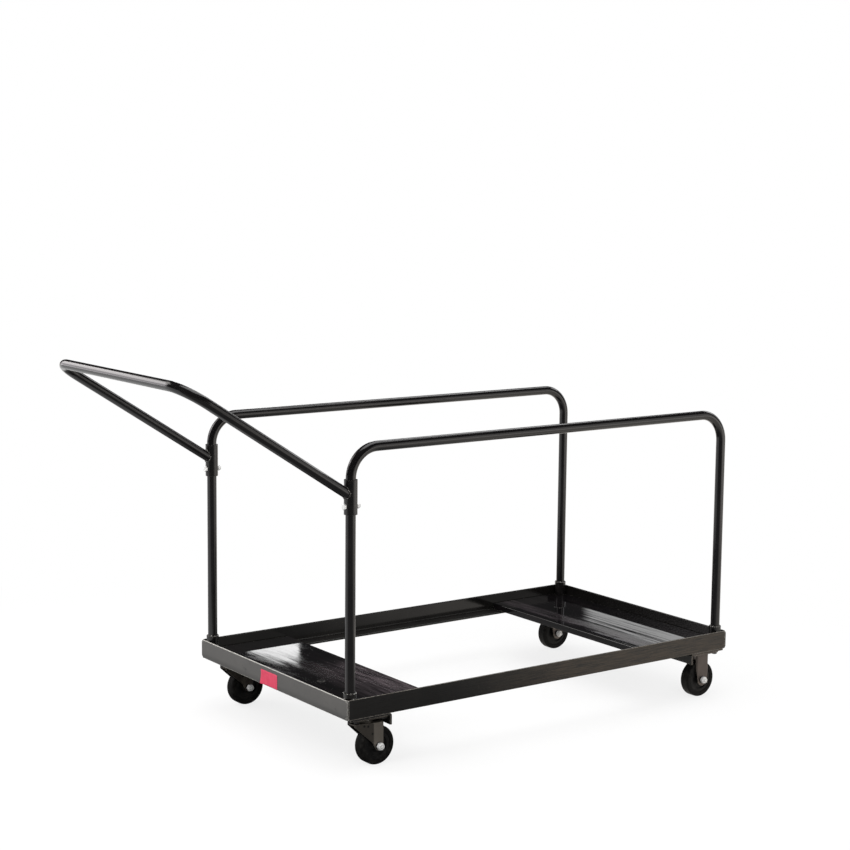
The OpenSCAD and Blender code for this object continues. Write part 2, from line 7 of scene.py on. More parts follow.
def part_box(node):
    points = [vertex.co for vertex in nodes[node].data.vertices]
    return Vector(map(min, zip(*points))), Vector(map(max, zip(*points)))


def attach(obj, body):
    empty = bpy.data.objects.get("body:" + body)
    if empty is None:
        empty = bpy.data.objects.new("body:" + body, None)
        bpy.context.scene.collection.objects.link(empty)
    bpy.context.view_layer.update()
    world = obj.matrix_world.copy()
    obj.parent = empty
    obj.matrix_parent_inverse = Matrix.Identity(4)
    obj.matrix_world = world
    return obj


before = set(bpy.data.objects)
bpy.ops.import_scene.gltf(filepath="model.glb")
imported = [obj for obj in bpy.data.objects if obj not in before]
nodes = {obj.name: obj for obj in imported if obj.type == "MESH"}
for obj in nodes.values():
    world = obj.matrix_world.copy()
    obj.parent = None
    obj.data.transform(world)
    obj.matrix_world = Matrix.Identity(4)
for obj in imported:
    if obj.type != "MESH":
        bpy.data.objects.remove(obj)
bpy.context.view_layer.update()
scene = bpy.context.scene

# Places and sizes of the part, in metres, as in its source
MM = 0.001
END_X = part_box("handle_end_rail")[0].x
FAR_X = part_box("far_end_rail")[1].x
HALF_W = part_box("handle_end_rail")[1].y
RAIL_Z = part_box("front_rail")[0].z
RAIL_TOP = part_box("front_rail")[1].z
DECK_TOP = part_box("far_end_board")[1].z
ANGLE_T = 5 * MM
FLANGE_Z = RAIL_Z + ANGLE_T
BEARER_IN = 10 * MM
TUBE_R = 12.7 * MM
SLEEVE_R = 16.7 * MM
ARM_Z = 683.2 * MM
ARM_RISE = math.radians(32.6)

# Welds, trim and tag; a profile is (along, radius) pairs in millimetres
POST_BEAD, TACK_BEAD, CORNER_BEAD, BEARER_BEAD = 2.3 * MM, 1.7 * MM, 2.1 * MM, 1.8 * MM
HANDLE_BEAD, FORK_BEAD, BEAD_RIPPLE = 2.0 * MM, 1.5 * MM, 2.6 * MM
POST_RING_R, SADDLE_R, SADDLE_TUBE_R = 14.3 * MM, SLEEVE_R + 0.4 * MM, TUBE_R + 0.5 * MM
SADDLE_STEPS = 72
BEAD_OFF, TACK_DROP, CORNER_DROP = 0.3 * MM, 0.4 * MM, 1.5 * MM
TACK_HALF, STITCH_HALF, STITCH_PITCH = 8 * MM, 15 * MM, 104 * MM
STITCH_OUT, STITCH_DROP = 0.7 * MM, 0.8 * MM
FORK_WELD_Y, FORK_WELD_HALF, FORK_WELD_DROP = 22.9 * MM, 17 * MM, 0.8 * MM
LOCK_RING_MM = ((0, 5.5), (0.25, 5.45), (0.4, 5.1), (0.4, 4.5), (0.25, 4.1), (0, 3.9))
BOLT_TIP_MM = ((0, 3.6), (0.2, 3.95), (0.45, 3.55), (0.7, 3.9), (0.95, 3.5), (1.15, 3.6), (1.45, 3.1))
DIMPLE_MM = ((0, 2.9), (0.14, 2.7), (0.18, 2.4), (0.05, 2.0), (0.03, 1.2))
DIMPLES_AT_MM = ((72.6, 104.3), (85.4, 83.9), (62.0, 106.0))
DIMPLE_SIDES = 20
CREASE_MM, CHEEK_HALF_MM, CHEEK_SLANT = 88.5, 22.5, math.radians(5)
TAG_Y, TAG_Z, TAG_T = (-35 * MM, 46 * MM), (134.8 * MM, 173 * MM), 0.2 * MM
TAG_OFF, TAG_WAVE, TAG_RAGGED, TAG_LIFT = 0.25 * MM, 0.5 * MM, 0.5 * MM, 22 * MM
TAG_COLUMNS, TAG_ROWS = 44, 22
NODE_SHARP, PIECE_SHARP = math.radians(32), math.radians(50)
DECK_MARK, DECK_MARK_R = (-0.3207, -0.0925, DECK_TOP), 9 * MM

# Stage: the floor's size and brightness, and two screens seen only in reflections, in degrees
FLOOR_HALF = 30
FLOOR_SEEN, FLOOR_LIT, FLOOR_TINT = (0.92, 0.92, 0.92), (0.15, 0.15, 0.15), (1.0, 0.95, 0.89)
NEAR_TURN, NEAR_HALF, NEAR_TOP, NEAR_LEAN, NEAR_CUT, NEAR_GLOW = 58.98, 0.75, 14.92, 0.36, 36.10, 3.0
FAR_TURN, FAR_HALF, FAR_LEAN, FAR_CUT = 20, 29, 0.28, 27.30
NEAR_SOFT, FAR_SOFT = 0.08, 0.15
WORLD_LIGHT, WORLD_MIRRORED = 0.35, 0.02
WARM, MAUVE = (1.0, 0.97, 0.94), (1.0, 0.95, 0.98)


# Camera, solved from the frame's edges

FOCAL_PX = 1878.426
IMAGE_PX = 850
SENSOR = 36.0
CAM_AT = Vector((-2.84974, -4.06054, 1.46822))
CAM_YAW, CAM_PITCH, CAM_ROLL = (math.radians(a) for a in (54.3113, 7.8026, 0.5602))


def make_camera():
    ahead = Vector((math.cos(CAM_YAW) * math.cos(CAM_PITCH),
                    math.sin(CAM_YAW) * math.cos(CAM_PITCH), -math.sin(CAM_PITCH)))
    right = Vector((math.sin(CAM_YAW), -math.cos(CAM_YAW), 0))
    up = right.cross(ahead)
    c, s = math.cos(CAM_ROLL), math.sin(CAM_ROLL)
    right, up = c * right + s * up, c * up - s * right
    data = bpy.data.cameras.new("camera")
    data.sensor_width = SENSOR
    data.lens = FOCAL_PX * SENSOR / IMAGE_PX
    data.clip_start, data.clip_end = 0.05, 100
    camera = bpy.data.objects.new("camera", data)
    scene.collection.objects.link(camera)
    turn = Matrix((right, up, -ahead)).transposed()
    camera.matrix_world = Matrix.Translation(CAM_AT) @ turn.to_4x4()
    scene.camera = camera


# Node graphs

class Graph:
    """Short calls that add nodes to a tree and link them."""

    def __init__(self, tree):
        self.tree = tree

    def node(self, kind, inputs=None, **settings):
        made = self.tree.nodes.new(kind)
        for key, value in settings.items():
            setattr(made, key, value)
        for key, value in (inputs or {}).items():
            self.put(made.inputs[key], value)
        return made

    def put(self, socket, value):
        """Sets a socket to a constant, or links it to another node's output."""
        if isinstance(value, bpy.types.NodeSocket):
            self.tree.links.new(value, socket)
        else:
            socket.default_value = value

    def between(self, value, low, high, to_low=0.0, to_high=1.0):
        """Maps low..high of a value smoothly to to_low..to_high."""
        made = self.node("ShaderNodeMapRange", {
            "Value": value, "From Min": low, "From Max": high, "To Min": to_low, "To Max": to_high},
            interpolation_type="SMOOTHSTEP")
        return made.outputs["Result"]

    def calc(self, operation, a, b):
        return self.node("ShaderNodeMath", {0: a, 1: b}, operation=operation).outputs[0]

    def product(self, *values):
        made = values[0]
        for value in values[1:]:
            made = self.calc("MULTIPLY", made, value)
        return made

    def near(self, value, centre, half, soft):
        """1 where a value is within half of a centre, falling to 0 over soft."""
        away = self.calc("ABSOLUTE", self.calc("SUBTRACT", value, centre), 0.0)
        return self.between(away, half + soft, half)


class Shader(Graph):
    """A material with one Principled shader."""

    def __init__(self, name, **values):
        self.material = bpy.data.materials.new(name)
        self.material.use_nodes = True
        super().__init__(self.material.node_tree)
        self.bsdf = self.tree.nodes["Principled BSDF"]
        for socket, value in values.items():
            self.bsdf.inputs[socket.replace("_", " ")].default_value = value
        self.place = self.node("ShaderNodeTexCoord").outputs["Object"]
        axes = self.node("ShaderNodeSeparateXYZ", {0: self.place}).outputs
        self.x, self.y, self.z = axes[0], axes[1], axes[2]

    def stretch(self, x, y, z):
        return self.node("ShaderNodeMapping", {"Vector": self.place, "Scale": (x, y, z)}).outputs["Vector"]

    def noise(self, scale, detail=3.0, rough=0.5, place=None, distort=0.0):
        made = self.node("ShaderNodeTexNoise", {
            "Vector": place or self.place, "Scale": scale, "Detail": detail,
            "Roughness": rough, "Distortion": distort})
        return made.outputs["Fac"]

    def mix(self, factor, a, b):
        made = self.node("ShaderNodeMix", data_type="RGBA")
        self.put(made.inputs[0], factor)
        for socket, value in ((made.inputs[6], a), (made.inputs[7], b)):
            self.put(socket, value if isinstance(value, bpy.types.NodeSocket) else (*value, 1))
        return made.outputs[2]

    def edges(self, radius):
        """1 on sharp outer edges, 0 on flat ground."""
        soft = self.node("ShaderNodeBevel", {"Radius": radius}, samples=6).outputs["Normal"]
        flat = self.node("ShaderNodeNewGeometry").outputs["True Normal"]
        dot = self.node("ShaderNodeVectorMath", {0: soft, 1: flat}, operation="DOT_PRODUCT").outputs["Value"]
        return self.between(dot, 0.995, 0.80)

    def colour(self, value):
        self.put(self.bsdf.inputs["Base Color"], value)

    def rough(self, value):
        self.put(self.bsdf.inputs["Roughness"], value)

    def bump(self, height, distance, round_edge=0.0):
        made = self.node("ShaderNodeBump", {"Height": height, "Distance": distance, "Strength": 1.0})
        if round_edge:
            soft = self.node("ShaderNodeBevel", {"Radius": round_edge}, samples=6)
            self.put(made.inputs["Normal"], soft.outputs["Normal"])
        self.put(self.bsdf.inputs["Normal"], made.outputs["Normal"])


# Materials

def rail_paint():
    """Black paint on angle steel, lumpy over its corner welds, with a painted brown reflection along the
    front rail and a painted highlight on its top outer edge.
    """
    s = Shader("rail_paint", Specular_IOR_Level=0.38)
    cloud = s.noise(9, 4, 0.6)
    fine = s.noise(160, 3, 0.6)
    drawn = s.noise(1, 5, 0.7, s.stretch(14, 14, 420))
    lumps = s.noise(210, 3, 0.6)
    corner = s.calc("MAXIMUM", s.near(s.x, END_X, 8 * MM, 8 * MM), s.near(s.x, FAR_X, 14 * MM, 8 * MM))
    outer = s.near(s.y, -HALF_W, 0.6 * MM, 0.6 * MM)
    inner = s.calc("MAXIMUM", s.near(s.x, FAR_X - ANGLE_T, 0.5 * MM, 0.5 * MM),
                   s.near(s.y, HALF_W - ANGLE_T, 0.5 * MM, 0.5 * MM))
    # Painted highlight: a pale line along the front rail's top outer edge.
    arris_highlight = s.product(s.near(s.y, -HALF_W, 1.2 * MM, 0.5 * MM),
                      s.between(s.z, RAIL_TOP - 1.3 * MM, RAIL_TOP - 0.7 * MM),
                      s.between(fine, 0.35, 0.60, 0.1, 0.5))
    tone = s.mix(s.between(cloud, 0.35, 0.7), (0.0046, 0.0043, 0.0040), (0.0080, 0.0074, 0.0068))
    # Painted reflection: a warm brown tone on the front rail's outer face, rising towards its right and
    # streaked by the drawn marks.
    thin = s.product(outer, s.between(s.x, -0.10, 0.35), s.between(drawn, 0.36, 0.62))
    tone = s.mix(thin, tone, (0.050, 0.037, 0.025))
    hairs = s.noise(1, 5, 0.75, s.stretch(90, 90, 700))
    rubbed = s.product(s.near(s.x, 0.05, 0.05, 0.16), s.between(hairs, 0.63, 0.74))
    tone = s.mix(rubbed, tone, (0.16, 0.14, 0.11))
    worn = s.product(s.edges(1.6 * MM), s.between(fine, 0.22, 0.55))
    # Bare worn edges and the painted top-edge highlight share one pale colour.
    s.colour(s.mix(s.calc("MAXIMUM", worn, arris_highlight), tone, (0.36, 0.33, 0.29)))
    dull = s.calc("ADD", s.between(drawn, 0.3, 0.7, 0.26, 0.38), s.product(corner, 0.08))
    s.rough(s.between(inner, 0, 1, dull, 0.12))
    peel = s.calc("ADD", s.product(s.noise(900, 2), 0.6), drawn)
    s.bump(s.calc("ADD", peel, s.product(corner, lumps, 9.0)), 0.04 * MM, 0.7 * MM)
    return s.material


def end_rail_paint():
    """The same paint on the handle end, bare along its edges; its outer face carries a painted lit grey with
    painted shade along its bottom, and its top outer edge a painted highlight.
    """
    s = Shader("end_rail_paint", Specular_IOR_Level=0.6)
    cloud = s.noise(8, 4, 0.6)
    fine = s.noise(160, 3, 0.6)
    smudge = s.noise(34, 5, 0.65, None, 0.5)
    outer = s.near(s.x, END_X, 0.6 * MM, 0.8 * MM)
    # Painted light: the outer face's grey stands in for the light falling on it, with darker smudges in it.
    dusty = s.mix(s.between(cloud, 0.35, 0.7), (0.060, 0.057, 0.053), (0.088, 0.084, 0.078))
    dusty = s.mix(s.product(s.between(smudge, 0.60, 0.74), 0.7), dusty, (0.022, 0.021, 0.020))
    # Painted shade: darker along the bottom of the outer face.
    dusty = s.mix(s.between(s.z, RAIL_Z + 18 * MM, RAIL_Z + 4 * MM), dusty, (0.040, 0.038, 0.035))
    tone = s.mix(outer, (0.0055, 0.0052, 0.0048), dusty)
    worn = s.product(s.edges(2.2 * MM), s.between(fine, 0.15, 0.45))
    # Painted highlight: a pale line along the top outer edge, sharing its colour with the bare worn edges.
    arris_highlight = s.product(s.near(s.x, END_X, 1.4 * MM, 0.6 * MM),
                      s.between(s.z, RAIL_TOP - 1.8 * MM, RAIL_TOP - 1.0 * MM),
                      s.between(fine, 0.30, 0.55, 0.45, 1.0))
    s.colour(s.mix(s.calc("MAXIMUM", worn, arris_highlight), tone, (0.72, 0.70, 0.65)))
    s.rough(s.between(cloud, 0.3, 0.7, 0.34, 0.44))
    s.bump(s.calc("ADD", s.noise(900, 2), s.product(smudge, 1.5)), 0.04 * MM, 0.7 * MM)
    return s.material


def tube_paint():
    """Smooth gloss black paint on tube, with a faint orange peel."""
    s = Shader("tube_paint", Specular_IOR_Level=0.5)
    cloud = s.noise(11, 3, 0.6)
    fine = s.noise(220, 3, 0.6)
    s.colour(s.mix(s.between(cloud, 0.35, 0.7), (0.0036, 0.0032, 0.0036), (0.0070, 0.0062, 0.0064)))
    s.rough(s.between(fine, 0.3, 0.7, 0.13, 0.20))
    s.bump(s.noise(90, 2), 0.03 * MM)
    return s.material


def collar_paint():
    """The tubes' paint on short turned pieces, thin on their rims."""
    s = Shader("collar_paint", Specular_IOR_Level=0.5)
    fine = s.noise(220, 3, 0.6)
    cloud = s.noise(40, 3, 0.6)
    tone = s.mix(s.between(cloud, 0.35, 0.7), (0.0036, 0.0033, 0.0034), (0.0085, 0.0076, 0.0072))
    s.colour(s.mix(s.product(s.edges(0.8 * MM), s.between(fine, 0.3, 0.6)), tone, (0.14, 0.13, 0.12)))
    s.rough(s.between(fine, 0.3, 0.7, 0.18, 0.28))
    s.bump(fine, 0.02 * MM, 0.5 * MM)
    return s.material


def weld_paint():
    """Black paint over a weld bead, with painted glints on its lumps."""
    s = Shader("weld_paint", Specular_IOR_Level=0.7)
    lumps = s.noise(420, 3, 0.6)
    # Painted glints: pale lumps and near-white spots on the beads.
    tone = s.mix(s.between(lumps, 0.5, 0.72), (0.005, 0.0046, 0.0044), (0.13, 0.12, 0.105))
    s.colour(s.mix(s.between(s.noise(330, 2, 0.5), 0.60, 0.66), tone, (0.62, 0.60, 0.56)))
    s.rough(s.between(lumps, 0.3, 0.7, 0.12, 0.28))
    s.bump(lumps, 0.10 * MM)
    return s.material


def deck_film():
    """Gloss black film, drawn in wavy streaks, dull where loads have rubbed it, with a painted brownish
    reflection in the rubbed bands.
    """
    s = Shader("deck_film", Specular_IOR_Level=0.75)
    streak = s.noise(1, 1, 0.4, s.stretch(38, 2.5, 38), 0.2)
    hairs = s.noise(1, 4, 0.6, s.stretch(150, 9, 150))
    wide = s.noise(1, 3, 0.6, s.stretch(26, 5, 26), 0.6)
    dirt = s.noise(26, 5, 0.65)
    # Two rubbed bands, dull in roughness; their brownish colour is a painted reflection.
    near_scuff_and_reflection = s.product(s.between(s.x, END_X + 0.09, END_X + 0.22), s.between(s.y, 0.12, -0.08),
                         s.between(s.x, 0.1, 0.0))
    far_end = s.product(s.between(s.x, FAR_X - 0.256, FAR_X - 0.246),
                        s.between(s.x, FAR_X - 0.185, FAR_X - 0.205))
    patchy = s.between(wide, 0.25, 0.55)
    dull = s.product(s.calc("MAXIMUM", near_scuff_and_reflection, far_end), patchy)
    from_mark = s.node("ShaderNodeVectorMath", {0: s.place, 1: DECK_MARK}, operation="DISTANCE")
    mark = s.product(s.near(from_mark.outputs["Value"], DECK_MARK_R, 0.8 * MM, 1.2 * MM),
                     s.between(dirt, 0.35, 0.6))
    tone = s.mix(s.between(hairs, 0.42, 0.75), (0.0034, 0.0032, 0.0036), (0.0090, 0.0070, 0.0082))
    film = s.between(hairs, 0.25, 0.70)
    # Painted reflection: brownish grey in the rubbed bands, paler at the near end.
    tone = s.mix(s.product(far_end, patchy, film), tone, (0.042, 0.034, 0.038))
    tone = s.mix(s.product(near_scuff_and_reflection, patchy, film), tone, (0.105, 0.086, 0.093))
    flecks = s.noise(1, 5, 0.7, s.stretch(300, 40, 300))
    chips = s.product(s.between(flecks, 0.66, 0.74), s.between(dirt, 0.50, 0.66))
    tone = s.mix(s.calc("MAXIMUM", s.product(chips, 0.6), s.product(mark, 0.5)), tone, (0.26, 0.25, 0.24))
    worn = s.product(s.edges(1.1 * MM), s.between(dirt, 0.40, 0.60))
    s.colour(s.mix(worn, tone, (0.42, 0.38, 0.33)))
    gloss = s.between(wide, 0.35, 0.70, 0.02, 0.06)
    s.rough(s.calc("ADD", gloss, s.product(s.calc("MAXIMUM", dull, chips), 0.12)))
    swell = s.between(s.x, 0.0, 0.3, 0.35, 1.5)
    s.bump(s.calc("ADD", s.product(streak, swell), s.product(hairs, 0.06)), 0.10 * MM, 0.4 * MM)
    return s.material


def fork_finish():
    """Dark gunmetal on pressed steel, paler at the far end; the front swivel fork is painted lighter than the
    back one, which sits in shade, with a painted sheen on its flat cheeks behind the crease.
    """
    s = Shader("fork_finish", Metallic=0.8, Specular_IOR_Level=0.5)
    cloud = s.noise(48, 4, 0.6)
    fine = s.noise(420, 3, 0.6)
    tone = s.mix(s.between(cloud, 0.35, 0.7), (0.046, 0.040, 0.033), (0.085, 0.075, 0.062))
    crease = END_X + CREASE_MM * MM
    # Painted sheen: the flat cheek behind the crease, paler on the front swivel fork.
    cheek = s.product(s.between(s.x, crease - MM, crease + MM),
                      s.between(s.x, crease + 40 * MM, crease + 30 * MM),
                      s.between(s.z, 0.112, 0.106))
    # Painted light: the front swivel fork lighter than the back one, which sits in shade.
    rubbed = s.product(s.between(s.x, 0.0, -0.1), s.between(s.y, 0.0, -0.1))
    tone = s.mix(s.between(s.x, 0.0, 0.1, 0.0, 0.75), tone, (0.105, 0.090, 0.083))
    tone = s.mix(rubbed, tone, (0.088, 0.079, 0.068))
    tone = s.mix(s.product(cheek, rubbed), tone, (0.22, 0.197, 0.170))
    s.colour(s.mix(s.product(s.edges(0.9 * MM), s.between(fine, 0.25, 0.55)), tone, (0.42, 0.39, 0.34)))
    s.rough(s.between(fine, 0.3, 0.7, 0.32, 0.46))
    s.bump(fine, 0.04 * MM, 0.5 * MM)
    return s.material


def zinc_plate():
    """Bright zinc with a faint spangle."""
    s = Shader("zinc_plate", Metallic=0.3)
    fine = s.noise(900, 3, 0.6)
    cloud = s.noise(220, 3, 0.5)
    tone = s.mix(s.between(cloud, 0.35, 0.7), (0.84, 0.84, 0.83), (0.94, 0.94, 0.93))
    s.colour(s.mix(s.between(s.noise(300, 4, 0.6), 0.62, 0.76), tone, (0.34, 0.31, 0.27)))
    s.rough(s.between(fine, 0.3, 0.7, 0.26, 0.40))
    s.bump(fine, 0.03 * MM, 0.3 * MM)
    return s.material


def wheel_core_plastic():
    """Matt black plastic, a little dusty."""
    s = Shader("wheel_core_plastic", Specular_IOR_Level=0.15)
    fine = s.noise(600, 3, 0.6)
    cloud = s.noise(60, 4, 0.6)
    s.colour(s.mix(s.between(cloud, 0.4, 0.75), (0.0060, 0.0060, 0.0060), (0.018, 0.0172, 0.016)))
    s.rough(s.between(fine, 0.3, 0.7, 0.40, 0.55))
    s.bump(fine, 0.05 * MM, 0.5 * MM)
    return s.material


def tyre_rubber():
    """Black rubber, dusty in patches on its tread."""
    s = Shader("tyre_rubber", Specular_IOR_Level=0.09)
    fine = s.noise(800, 3, 0.6)
    dust = s.noise(80, 5, 0.65)
    s.colour(s.mix(s.between(dust, 0.45, 0.8), (0.0060, 0.0059, 0.0057), (0.026, 0.0245, 0.022)))
    s.rough(s.between(dust, 0.3, 0.7, 0.46, 0.66))
    s.bump(fine, 0.07 * MM, 0.6 * MM)
    return s.material


def nylon():
    """Off-white nylon of the nuts' lock rings."""
    s = Shader("nylon", Specular_IOR_Level=0.5, Subsurface_Weight=0.1)
    fine = s.noise(700, 3, 0.6)
    s.colour(s.mix(s.between(fine, 0.3, 0.7), (0.50, 0.49, 0.45), (0.64, 0.63, 0.58)))
    s.rough(s.between(fine, 0.3, 0.7, 0.35, 0.5))
    s.bump(fine, 0.03 * MM)
    return s.material


def pink_paper():
    """Day-glow paper, creased and rubbed."""
    s = Shader("pink_paper", Specular_IOR_Level=0.4)
    crease = s.noise(1, 4, 0.65, s.stretch(60, 60, 22), 0.8)
    fibre = s.noise(700, 3, 0.6)
    rubbed = s.between(s.noise(55, 5, 0.7), 0.55, 0.75)
    tone = s.mix(s.between(crease, 0.35, 0.7), (0.76, 0.060, 0.125), (0.82, 0.088, 0.160))
    s.colour(s.mix(s.product(rubbed, 0.35), tone, (0.52, 0.036, 0.086)))
    s.rough(s.between(fibre, 0.3, 0.7, 0.45, 0.62))
    s.bump(s.calc("ADD", s.product(crease, 5.0), fibre), 0.06 * MM)
    return s.material


def dress_nodes(look):
    """Gives each CAD node its finish, by the ending of its name."""
    by_ending = (
        (("_board",), "deck"), (("_tyre",), "tyre"), (("_core",), "core"),
        (("_fork", "_plate"), "fork"), (("_hoop", "_tube"), "tube"),
        (("caster_bolts", "_washer", "_sleeve", "_socket"), "collar"),
        (("_balls", "_kingpin", "_axle", "_nut", "_nuts", "_spacer", "_screws", "_bolts"), "zinc"),
        (("handle_end_rail",), "end_rail"), (("_rail", "_bearer"), "rail"))
    for name, node in nodes.items():
        chosen = next(look[key] for endings, key in by_ending if name.endswith(endings))
        node.data.materials.clear()
        node.data.materials.append(chosen)
        node.data.shade_smooth()
        node.data.set_sharp_from_angle(angle=NODE_SHARP)


# Pieces

def add_piece(name, verts, faces, material, body, slot):
    mesh = bpy.data.meshes.new(name)
    mesh.from_pydata(verts, [], faces)
    mesh.materials.append(material)
    mesh.shade_smooth()
    mesh.set_sharp_from_angle(angle=PIECE_SHARP)
    made = bpy.data.objects.new(name, mesh)
    scene.collection.objects.link(made)
    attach(made, body)
    return made


def spaced(path, step, closed):
    """Points at even steps along a path."""
    ends = path + path[:1] if closed else path
    points, carry = [], 0.0
    for a, b in zip(ends, ends[1:]):
        length = (b - a).length
        while carry < length:
            points.append(a.lerp(b, carry / length))
            carry += step
        carry -= length
    return points


def beads(paths, radius, closed=False, ripple=BEAD_RIPPLE, sides=8):
    """Points and faces of weld beads: round strings that swell at each stop of the torch."""
    verts, faces = [], []
    for path in paths:
        points = spaced(path, ripple / 4, closed)
        count, first = len(points), len(verts)
        for i, p in enumerate(points):
            ahead = points[(i + 1) % count] if closed or i + 1 < count else p
            behind = points[i - 1] if closed or i else p
            along = (ahead - behind).normalized()
            side = along.cross(Vector((0.31, 0.52, 0.79))).normalized()
            up = along.cross(side)
            swell = 0.84 + 0.24 * abs(math.sin(math.pi * i / 4)) + 0.28 * noise.noise(p * 240)
            if not closed:
                swell *= min(1, 0.35 + 0.22 * min(i, count - 1 - i))
            for k in range(sides):
                a = math.tau * k / sides
                verts.append(p + radius * swell * (math.cos(a) * side + math.sin(a) * up))
        for i in range(count if closed else count - 1):
            a, b = first + sides * i, first + sides * ((i + 1) % count)
            for k in range(sides):
                n = (k + 1) % sides
                faces.append((a + k, a + n, b + n, b + k))
        if not closed:
            faces.append(tuple(first + k for k in reversed(range(sides))))
            faces.append(tuple(first + sides * (count - 1) + k for k in range(sides)))
    return verts, faces


def lathe(profile, at, out, sides=32):
    """Points and faces of a profile in millimetres, turned about an axis and closed at its last pair."""
    across = out.orthogonal().normalized()
    other = out.cross(across)
    verts, faces = [], []
    for along, r in profile:
        for k in range(sides):
            a = math.tau * k / sides
            verts.append(at + along * MM * out + r * MM * (math.cos(a) * across + math.sin(a) * other))
    for i in range(len(profile) - 1):
        for k in range(sides):
            n = (k + 1) % sides
            faces.append((sides * i + k, sides * i + n, sides * (i + 1) + n, sides * (i + 1) + k))
    faces.append(tuple(sides * (len(profile) - 1) + k for k in range(sides)))
    return verts, faces


def ring(centre, r, count=60):
    return [centre + r * Vector((math.cos(math.tau * k / count), math.sin(math.tau * k / count), 0))
            for k in range(count)]


def middle(name):
    lo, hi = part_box(name)
    return (lo + hi) / 2


def make_frame_welds(look):
    """Beads round the posts' feet, on the sockets, in the corners and along the bearers."""
    rings, tacks, corners, stitches = [], [], [], []
    for name in ("front_handle_socket", "back_handle_socket", "front_far_socket", "back_far_socket"):
        at, top = middle(name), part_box(name)[1].z
        end, inward = (END_X, 1) if at.x < 0 else (FAR_X, -1)
        out = 1 if at.y > 0 else -1
        rings.append(ring(Vector((at.x, at.y, top + BEAD_OFF)), POST_RING_R))
        across = end + inward * (ANGLE_T + BEAD_OFF)
        beside = out * (HALF_W - ANGLE_T - BEAD_OFF)
        z = RAIL_TOP - TACK_DROP
        tacks.append([Vector((across, at.y - TACK_HALF, z)), Vector((across, at.y + TACK_HALF, z))])
        tacks.append([Vector((at.x - TACK_HALF, beside, z)), Vector((at.x + TACK_HALF, beside, z))])
        nook = Vector((across + inward * MM, beside - out * MM, 0))
        corners.append([nook + Vector((0, 0, FLANGE_Z)), nook + Vector((0, 0, RAIL_TOP - CORNER_DROP))])
    for x in (END_X + BEARER_IN - STITCH_OUT, FAR_X - BEARER_IN + STITCH_OUT):
        for k in range(-3, 4):
            y, z = k * STITCH_PITCH, RAIL_Z - STITCH_DROP
            stitches.append([Vector((x, y - STITCH_HALF, z)), Vector((x, y + STITCH_HALF, z))])
    add_piece("post_welds", *beads(rings, POST_BEAD, closed=True), look["weld"], "base", "frame_black")
    add_piece("socket_welds", *beads(tacks, TACK_BEAD), look["weld"], "base", "frame_black")
    add_piece("corner_welds", *beads(corners, CORNER_BEAD), look["weld"], "base", "frame_black")
    add_piece("bearer_welds", *beads(stitches, BEARER_BEAD), look["weld"], "base", "frame_black")


def make_handle_welds(look):
    """Saddle beads where the handle's slanting arms meet the upright sleeves."""
    loops = []
    for name in ("front_sleeve", "back_sleeve"):
        at, loop = middle(name), []
        for k in range(SADDLE_STEPS):
            t = math.tau * k / SADDLE_STEPS
            y, lift = SADDLE_TUBE_R * math.cos(t), SADDLE_TUBE_R * math.sin(t)
            reach = math.sqrt(SADDLE_R * SADDLE_R - y * y)
            run = (reach + lift * math.sin(ARM_RISE)) / math.cos(ARM_RISE)
            z = ARM_Z + run * math.sin(ARM_RISE) + lift * math.cos(ARM_RISE)
            loop.append(Vector((at.x - reach, at.y + y, z)))
        loops.append(loop)
    add_piece("handle_welds", *beads(loops, HANDLE_BEAD, closed=True), look["weld"], "base", "frame_black")


def make_caster_trim(look):
    """Lock rings and bolt tips of the axle nuts, and the rigid forks' weld beads."""
    out = Vector((0, -1, 0))
    lines = []
    for side in ("front", "back"):
        fork = middle(side + "_rigid_fork")
        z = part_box(side + "_rigid_fork")[1].z - FORK_WELD_DROP
        for y in (fork.y - FORK_WELD_Y, fork.y + FORK_WELD_Y):
            lines.append([Vector((fork.x - FORK_WELD_HALF, y, z)), Vector((fork.x + FORK_WELD_HALF, y, z))])
        for kind, body in (("swivel", side + "_swivel"), ("rigid", "base")):
            name = side + "_" + kind
            at = middle(name + "_nut")
            at.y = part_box(name + "_nut")[0].y
            add_piece(name + "_lock_ring", *lathe(LOCK_RING_MM, at, out), look["nylon"], body, "zinc")
            add_piece(name + "_bolt_tip", *lathe(BOLT_TIP_MM, at, out), look["zinc"], body, "zinc")
    add_piece("fork_welds", *beads(lines, FORK_BEAD), look["weld"], "base", "fork_gunmetal")


def make_fork_dimples(look):
    """Small stamped dimples in the cheeks of the swivel forks, in black plastic as painted shade in their
    hollows.
    """
    for side in ("front", "back"):
        body = side + "_swivel"
        centre_y = middle(side + "_swivel_fork").y
        verts, faces = [], []
        for x, z in DIMPLES_AT_MM:
            half = CHEEK_HALF_MM - (CREASE_MM - x) * math.tan(CHEEK_SLANT)
            for s in (-1, 1):
                at = Vector((END_X + x * MM, centre_y + s * half * MM, z * MM))
                out = Vector((-math.sin(CHEEK_SLANT), s * math.cos(CHEEK_SLANT), 0))
                more, rings = lathe(DIMPLE_MM, at, out, DIMPLE_SIDES)
                faces += [tuple(i + len(verts) for i in f) for f in rings]
                verts += more
        # Painted shade: the dimples take the black plastic, dark as their hollows in shade.
        add_piece(side + "_fork_dimples", verts, faces, look["core"], body, "fork_gunmetal")


